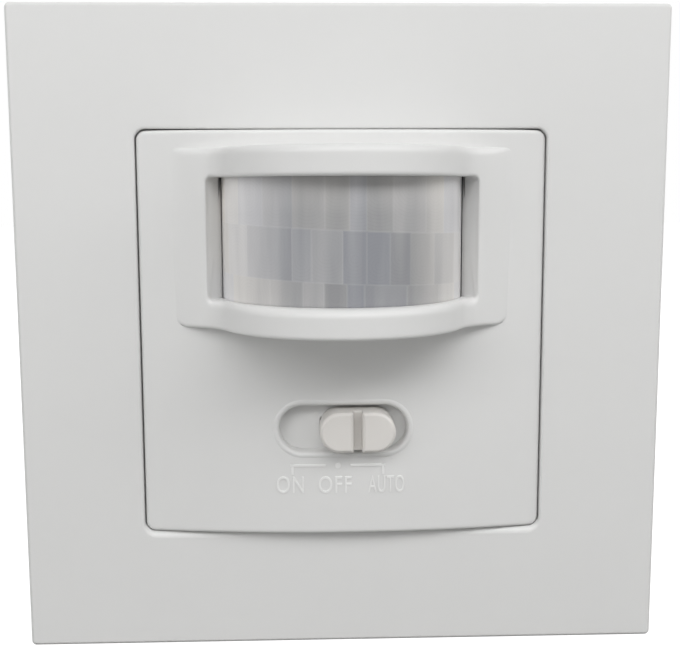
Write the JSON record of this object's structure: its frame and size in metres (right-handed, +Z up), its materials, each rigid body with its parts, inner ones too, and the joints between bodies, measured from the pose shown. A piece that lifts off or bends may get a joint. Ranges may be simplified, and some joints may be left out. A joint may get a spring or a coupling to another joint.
{
  "type": "motion sensor light switch",
  "caption": "Wall-box light switch with a bowed motion sensor window, slide selector, clipped cover frame and screw terminals.",
  "frame": {"origin": "centre of the plate on the wall plane, midway between the two box screw holes on the yoke's back face", "axes": "+X to the right seen from the room, +Y from the room into the wall, +Z up"},
  "size_m": [0.08, 0.0475, 0.08],
  "materials": {
    "plate_white": "satin moulded white",
    "panel_white": "satin moulded white",
    "lens_sheet": "milky polyethylene with fine grooves",
    "retainer_black": "matt black moulding",
    "knob_white": "satin moulded white",
    "carriage_white": "matt moulded white",
    "switch_case_metal": "tinned sheet",
    "switch_lever_black": "matt black moulding",
    "yoke_steel": "zinc plated pressed steel",
    "housing_white": "matt moulded white",
    "cover_white": "matt moulded white",
    "screw_steel": "zinc plated",
    "board_green": "solder mask over glass laminate",
    "can_metal": "nickel plated can",
    "filter_dark": "dark filter",
    "spacer_white": "matt",
    "pin_metal": "tinned",
    "sensor_clear": "clear resin",
    "trimmer_body_blue": "matt blue",
    "trimmer_rotor_white": "matt white",
    "component_black": "matt black",
    "relay_blue": "matt blue",
    "film_yellow": "glossy yellow box",
    "sleeve_black": "shrunk sleeve",
    "varistor_blue": "dipped resin",
    "terminal_plastic": "matt white",
    "contact_brass": "stamped brass",
    "clamp_steel": "zinc plated",
    "cage_steel": "zinc plated"
  },
  "bodies": {
    "switch_body": {"cover_frame": "plate_white", "front_panel": "panel_white", "fresnel_lens": "lens_sheet", "lens_retainer": "retainer_black", "slide_switch_case": "switch_case_metal", "mounting_yoke": "yoke_steel", "rear_housing": "housing_white", "inner_cover": "cover_white", "housing_screws": "screw_steel", "sensor_board": "board_green", "power_board": "board_green", "pir_can": "can_metal", "pir_filter_window": "filter_dark", "pir_spacer_pad": "spacer_white", "link_pins": "pin_metal", "light_sensor": "sensor_clear", "time_trimmer_body": "trimmer_body_blue", "lux_trimmer_body": "trimmer_body_blue", "control_chip": "component_black", "link_spacer_bar": "component_black", "link_socket": "component_black", "bridge_rectifier": "component_black", "relay": "relay_blue", "film_capacitor": "film_yellow", "electrolytic_capacitor": "sleeve_black", "varistor": "varistor_blue", "terminal_block": "terminal_plastic", "terminal_contacts": "contact_brass"},
    "selector": {"selector_knob": "knob_white", "selector_carriage": "carriage_white", "slide_switch_lever": "switch_lever_black"},
    "time_rotor": {"time_trimmer_rotor": "trimmer_rotor_white"},
    "lux_rotor": {"lux_trimmer_rotor": "trimmer_rotor_white"},
    "screw_live": {"terminal_screw_live": "clamp_steel"},
    "cage_live": {"terminal_cage_live": "cage_steel"},
    "screw_neutral": {"terminal_screw_neutral": "clamp_steel"},
    "cage_neutral": {"terminal_cage_neutral": "cage_steel"},
    "screw_load": {"terminal_screw_load": "clamp_steel"},
    "cage_load": {"terminal_cage_load": "cage_steel"}
  },
  "joints": [
    {"name": "selector_slide", "type": "slide", "parent": "switch_body", "child": "selector", "axis": [1, 0, 0], "range_m": [-0.0034, 0]},
    {"name": "time_trimmer_turn", "type": "hinge", "parent": "switch_body", "child": "time_rotor", "pos_m": [-0.0146, 0, -0.0122], "axis": [0, -1, 0], "range_deg": [-105, 105]},
    {"name": "lux_trimmer_turn", "type": "hinge", "parent": "switch_body", "child": "lux_rotor", "pos_m": [0.0146, 0, -0.0122], "axis": [0, -1, 0], "range_deg": [-105, 105]},
    {"name": "live_screw_turn", "type": "hinge", "parent": "switch_body", "child": "screw_live", "pos_m": [-0.009, 0.022, -0.0159], "axis": [0, -1, 0], "range_deg": [0, 1440]},
    {"name": "live_cage_rise", "type": "slide", "parent": "switch_body", "child": "cage_live", "axis": [0, 1, 0], "range_m": [0, 0.002]},
    {"name": "neutral_screw_turn", "type": "hinge", "parent": "switch_body", "child": "screw_neutral", "pos_m": [0, 0.022, -0.0159], "axis": [0, -1, 0], "range_deg": [0, 1440]},
    {"name": "neutral_cage_rise", "type": "slide", "parent": "switch_body", "child": "cage_neutral", "axis": [0, 1, 0], "range_m": [0, 0.002]},
    {"name": "load_screw_turn", "type": "hinge", "parent": "switch_body", "child": "screw_load", "pos_m": [0.009, 0.022, -0.0159], "axis": [0, -1, 0], "range_deg": [0, 1440]},
    {"name": "load_cage_rise", "type": "slide", "parent": "switch_body", "child": "cage_load", "axis": [0, 1, 0], "range_m": [0, 0.002]}
  ],
  "couplings": [
    {"joint": "live_screw_turn", "follows": "live_cage_rise", "rad_per_m": 12566},
    {"joint": "neutral_screw_turn", "follows": "neutral_cage_rise", "rad_per_m": 12566},
    {"joint": "load_screw_turn", "follows": "load_cage_rise", "rad_per_m": 12566}
  ]
}
